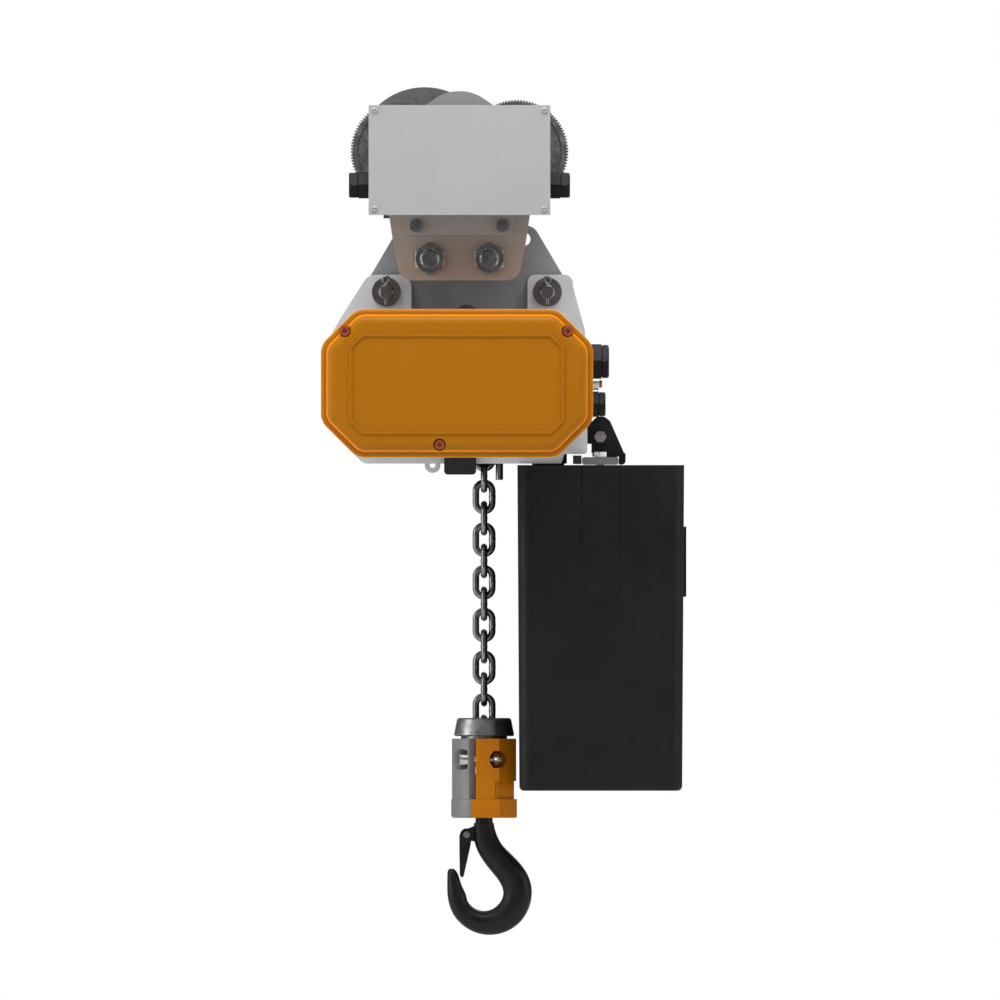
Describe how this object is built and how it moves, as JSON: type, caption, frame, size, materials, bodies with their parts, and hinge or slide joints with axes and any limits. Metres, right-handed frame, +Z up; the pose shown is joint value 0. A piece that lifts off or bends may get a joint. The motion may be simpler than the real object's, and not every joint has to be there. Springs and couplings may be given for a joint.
{
  "type": "chain hoist",
  "caption": "Electric chain hoist hanging on pins from a motorised beam trolley, with a hook block on a load chain and a chain container.",
  "frame": {"origin": "on the running surface of the beam flange, midway between the trolley's side plates and midway between its axles", "axes": "+Z up, +X along the beam to the right, the orange front cover faces -Y"},
  "size_m": [0.3801, 0.4363, 0.8817],
  "materials": {
    "trolley_plate_paint": "semi-gloss grey paint, a little dusty",
    "polished_steel": "oiled bright steel with dark faces",
    "dark_steel": "dark oiled steel",
    "zinc_steel": "zinc plated, fine machining marks",
    "bar_paint": "grey paint",
    "wheel_steel": "dark machined steel with bright gear teeth",
    "gear_steel": "oiled machined steel",
    "winding": "varnished laminations and windings",
    "drive_paint": "dark grey textured paint",
    "box_paint": "light grey powder coat",
    "bracket_paint": "grey paint",
    "switch_plastic": "light grey moulded plastic",
    "black_plastic": "black moulded nylon",
    "suspension_paint": "grey paint",
    "casting_paint": "grey painted aluminium casting",
    "orange_paint": "orange gloss powder coat",
    "seal_rubber": "black rubber",
    "screw_bronze": "red-brown coated socket screws",
    "chain_steel": "dark blackened round steel chain",
    "container_plastic": "black moulded plastic with a fine grain",
    "black_paint": "black powder coat",
    "block_cap_steel": "turned steel cap",
    "block_grey": "grey painted casting",
    "block_orange": "orange painted casting",
    "hook_black": "black painted forging"
  },
  "bodies": {
    "root": {"trolley_plate_front": "trolley_plate_paint", "trolley_plate_rear": "trolley_plate_paint", "tie_bolts": "polished_steel", "tie_spacers": "polished_steel", "plate_nuts": "polished_steel", "wheel_axles": "polished_steel", "trolley_bolts": "dark_steel", "suspension_pins": "dark_steel", "pin_washers_and_cotters": "dark_steel", "container_bolts": "zinc_steel", "ball_bearings": "zinc_steel", "container_bar": "bar_paint", "stator_windings": "winding", "brake_coil": "winding", "travel_gearbox": "drive_paint", "travel_motor_case": "drive_paint", "trolley_box": "box_paint", "trolley_box_lid": "box_paint", "trolley_box_screws": "box_paint", "trolley_box_bracket": "bracket_paint", "switchgear": "switch_plastic", "limit_switch": "switch_plastic", "cable_inlets": "black_plastic", "chain_guide": "black_plastic", "suspension_plate": "suspension_paint", "hoist_housing": "casting_paint", "gearbox_casting": "casting_paint", "motor_housing": "casting_paint", "front_cover": "orange_paint", "rear_cover": "orange_paint", "cover_seals": "seal_rubber", "rubber_stops": "seal_rubber", "cover_screws": "screw_bronze", "slack_chain": "chain_steel", "chain_container": "container_plastic", "container_bracket": "black_paint"},
    "travel_rotor": {"travel_rotor": "gear_steel"},
    "travel_pinion": {"travel_pinion": "gear_steel"},
    "wheel_front_left": {"track_wheel_front_left": "wheel_steel"},
    "wheel_front_right": {"track_wheel_front_right": "wheel_steel"},
    "wheel_rear_left": {"track_wheel_rear_left": "wheel_steel"},
    "wheel_rear_right": {"track_wheel_rear_right": "wheel_steel"},
    "hoist_rotor": {"motor_rotor": "gear_steel", "brake_disc": "gear_steel"},
    "middle_gear": {"intermediate_gear": "gear_steel"},
    "load_shaft": {"output_gear": "gear_steel", "load_wheel": "gear_steel"},
    "chain_run": {"load_chain": "chain_steel"},
    "hook_block": {"block_links": "chain_steel", "block_cap": "block_cap_steel", "block_shell_left": "block_grey", "block_shell_right": "block_orange", "block_bolts_and_pin": "zinc_steel", "thrust_bearing": "zinc_steel"},
    "hook": {"hook": "hook_black", "hook_nut": "zinc_steel", "latch_rivet": "dark_steel", "latch_spring": "dark_steel"},
    "latch": {"safety_latch": "hook_black"},
    "limit_rod": {"limit_rod": "dark_steel"}
  },
  "joints": [
    {"name": "travel_motor_spin", "type": "hinge", "parent": "root", "child": "travel_rotor", "pos_m": [-0.03631, 0.15, 0.038], "axis": [0, 1, 0], "continuous": true},
    {"name": "travel_pinion_spin", "type": "hinge", "parent": "root", "child": "travel_pinion", "pos_m": [0, 0.08, 0.03427], "axis": [0, 1, 0], "continuous": true},
    {"name": "wheel_rear_left_spin", "type": "hinge", "parent": "root", "child": "wheel_rear_left", "pos_m": [-0.0595, 0.045, 0.042], "axis": [0, 1, 0], "continuous": true},
    {"name": "wheel_rear_right_spin", "type": "hinge", "parent": "root", "child": "wheel_rear_right", "pos_m": [0.0595, 0.045, 0.042], "axis": [0, 1, 0], "continuous": true},
    {"name": "wheel_front_left_spin", "type": "hinge", "parent": "root", "child": "wheel_front_left", "pos_m": [-0.0595, -0.045, 0.042], "axis": [0, 1, 0], "continuous": true},
    {"name": "wheel_front_right_spin", "type": "hinge", "parent": "root", "child": "wheel_front_right", "pos_m": [0.0595, -0.045, 0.042], "axis": [0, 1, 0], "continuous": true},
    {"name": "hoist_motor_spin", "type": "hinge", "parent": "root", "child": "hoist_rotor", "pos_m": [-0.038, 0.1, -0.2], "axis": [0, 1, 0], "range_deg": [-3100, 2050]},
    {"name": "middle_gear_spin", "type": "hinge", "parent": "root", "child": "middle_gear", "pos_m": [0.00685, -0.1, -0.1779], "axis": [0, 1, 0], "range_deg": [-340, 510]},
    {"name": "load_wheel_spin", "type": "hinge", "parent": "root", "child": "load_shaft", "pos_m": [0.05976, 0, -0.2062], "axis": [0, 1, 0], "range_deg": [-108, 72]},
    {"name": "chain_lift", "type": "slide", "parent": "root", "child": "chain_run", "axis": [0, 0, 1], "range_m": [-0.067, 0.0445], "deforming": ["slack_chain"]},
    {"name": "block_swing", "type": "hinge", "parent": "chain_run", "child": "hook_block", "pos_m": [0.0256, 0, -0.52445], "axis": [1, 0, 0], "range_deg": [-25, 25]},
    {"name": "hook_swivel", "type": "hinge", "parent": "hook_block", "child": "hook", "pos_m": [0.0256, 0, -0.64], "axis": [0, 0, 1], "continuous": true},
    {"name": "latch_hinge", "type": "hinge", "parent": "hook", "child": "latch", "pos_m": [0.0074, 0, -0.6685], "axis": [0, -1, 0], "range_deg": [0, 24], "stiffness_Nm_per_rad": 0.05, "springref_deg": -28.65, "deforming": ["latch_spring"]},
    {"name": "limit_rod_push", "type": "slide", "parent": "root", "child": "limit_rod", "axis": [0, 0, 1], "range_m": [0, 0.006], "stiffness_N_per_m": 400, "springref_m": -0.008}
  ],
  "couplings": [
    {"joint": "travel_pinion_spin", "follows": "travel_motor_spin", "ratio": -0.23729},
    {"joint": "wheel_rear_left_spin", "follows": "travel_motor_spin", "ratio": 0.03134},
    {"joint": "wheel_rear_right_spin", "follows": "travel_motor_spin", "ratio": 0.03134},
    {"joint": "middle_gear_spin", "follows": "hoist_motor_spin", "ratio": -0.16279},
    {"joint": "load_wheel_spin", "follows": "hoist_motor_spin", "ratio": 0.034531},
    {"joint": "chain_lift", "follows": "hoist_motor_spin", "m_per_rad": 0.0012201}
  ]
}
